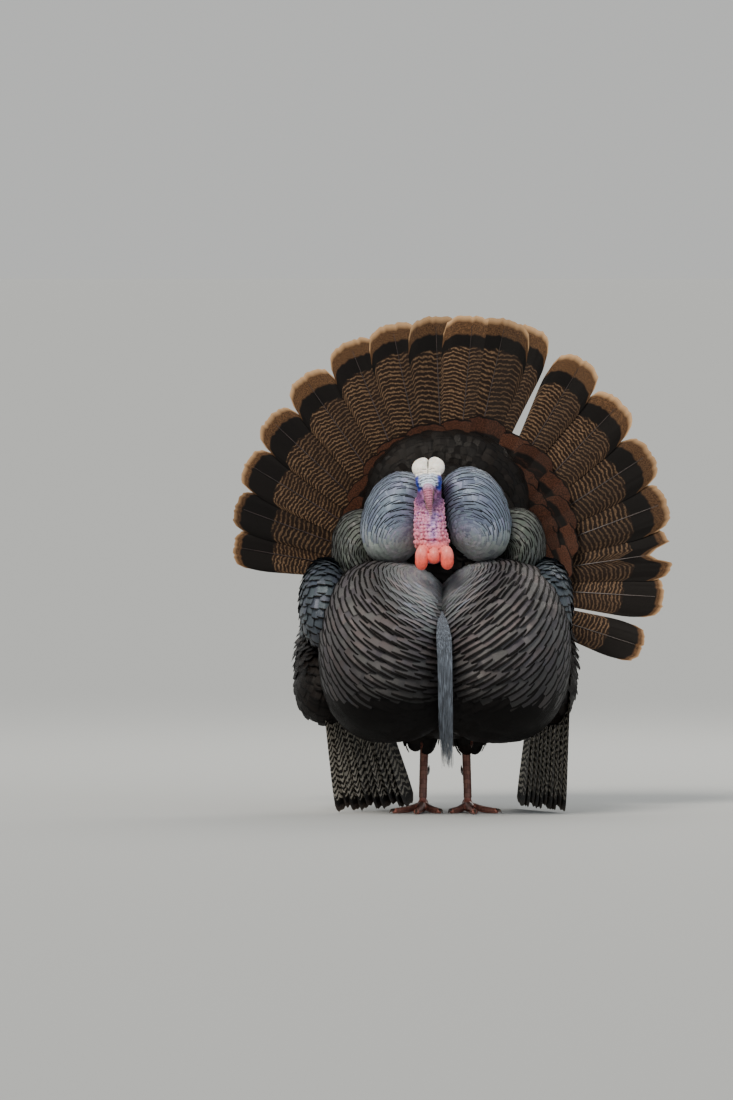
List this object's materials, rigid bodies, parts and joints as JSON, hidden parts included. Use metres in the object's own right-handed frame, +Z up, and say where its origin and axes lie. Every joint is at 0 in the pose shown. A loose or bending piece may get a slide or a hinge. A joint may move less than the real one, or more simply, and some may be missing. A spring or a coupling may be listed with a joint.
{
  "type": "wild turkey",
  "caption": "Life-size still model of a male wild turkey in full strut: tail fanned upright, wings drooped to the floor, head drawn back over a swollen breast.",
  "frame": {"origin": "on the floor, under the centre of the bounding box", "axes": "+Z up; the bird faces -Y, so its left side is at +X; the tail fan stands across the +Y end"},
  "size_m": [0.7035, 0.5526, 0.7925],
  "materials": {
    "head_skin": "bare wrinkled skin, cream white on the crown, pale blue on the forehead, deep blue round the eyes",
    "snood_skin": "bare fleshy skin, pink to lavender, finely ringed",
    "neck_skin": "bare knobbly skin, purple at the throat to pink lower down",
    "caruncle_skin": "smooth moist bulging skin, coral red",
    "horn": "horn of the bill, brown with a paler edge",
    "claw_horn": "dark polished horn of claws and spurs",
    "eye": "wet dark brown eye",
    "leg_scale": "horny scutes, dull pinkish red-brown",
    "bristle": "coarse dark bristles with a grey bloom",
    "black_plumage": "overlapping feathers, black with a faint brown gloss",
    "bronze_plumage": "overlapping feathers, grey-bronze with fine black edges, iridescent",
    "silver_plumage": "overlapping feathers, silvery blue-grey and bronze with fine black edges, iridescent",
    "tail_quills": "tail feathers, dark brown with wavy buff bars, a black band and a pale buff tip",
    "tail_covert_plumage": "covert feathers, dark reddish brown with fine bars",
    "undertail_plumage": "loose feathers, blackish brown with rufous bars",
    "flight_quills": "wing feathers, blackish brown barred with white"
  },
  "bodies": {
    "root": {"eye_right": "eye", "eye_left": "eye", "head": "head_skin", "snood": "snood_skin", "bill_upper": "horn", "bill_lower": "horn", "claw_inner_right": "claw_horn", "claw_middle_right": "claw_horn", "claw_outer_right": "claw_horn", "claw_hind_right": "claw_horn", "spur_right": "claw_horn", "foot_right": "leg_scale", "thigh_right": "black_plumage", "shank_right": "leg_scale", "claw_inner_left": "claw_horn", "claw_middle_left": "claw_horn", "claw_outer_left": "claw_horn", "claw_hind_left": "claw_horn", "spur_left": "claw_horn", "foot_left": "leg_scale", "thigh_left": "black_plumage", "shank_left": "leg_scale", "tail_fan": "tail_quills", "tail_coverts": "tail_covert_plumage", "undertail": "undertail_plumage", "belly": "black_plumage", "back": "black_plumage", "rump": "black_plumage", "breast_right": "bronze_plumage", "breast_left": "bronze_plumage", "mantle_right": "silver_plumage", "mantle_left": "silver_plumage", "scapulars_right": "silver_plumage", "scapulars_left": "silver_plumage", "wing_right": "silver_plumage", "primaries_right": "flight_quills", "secondaries_right": "flight_quills", "wing_left": "silver_plumage", "primaries_left": "flight_quills", "secondaries_left": "flight_quills", "neck": "neck_skin", "caruncle_right": "caruncle_skin", "caruncle_middle": "caruncle_skin", "caruncle_left": "caruncle_skin", "beard": "bristle"}
  },
  "joints": []
}
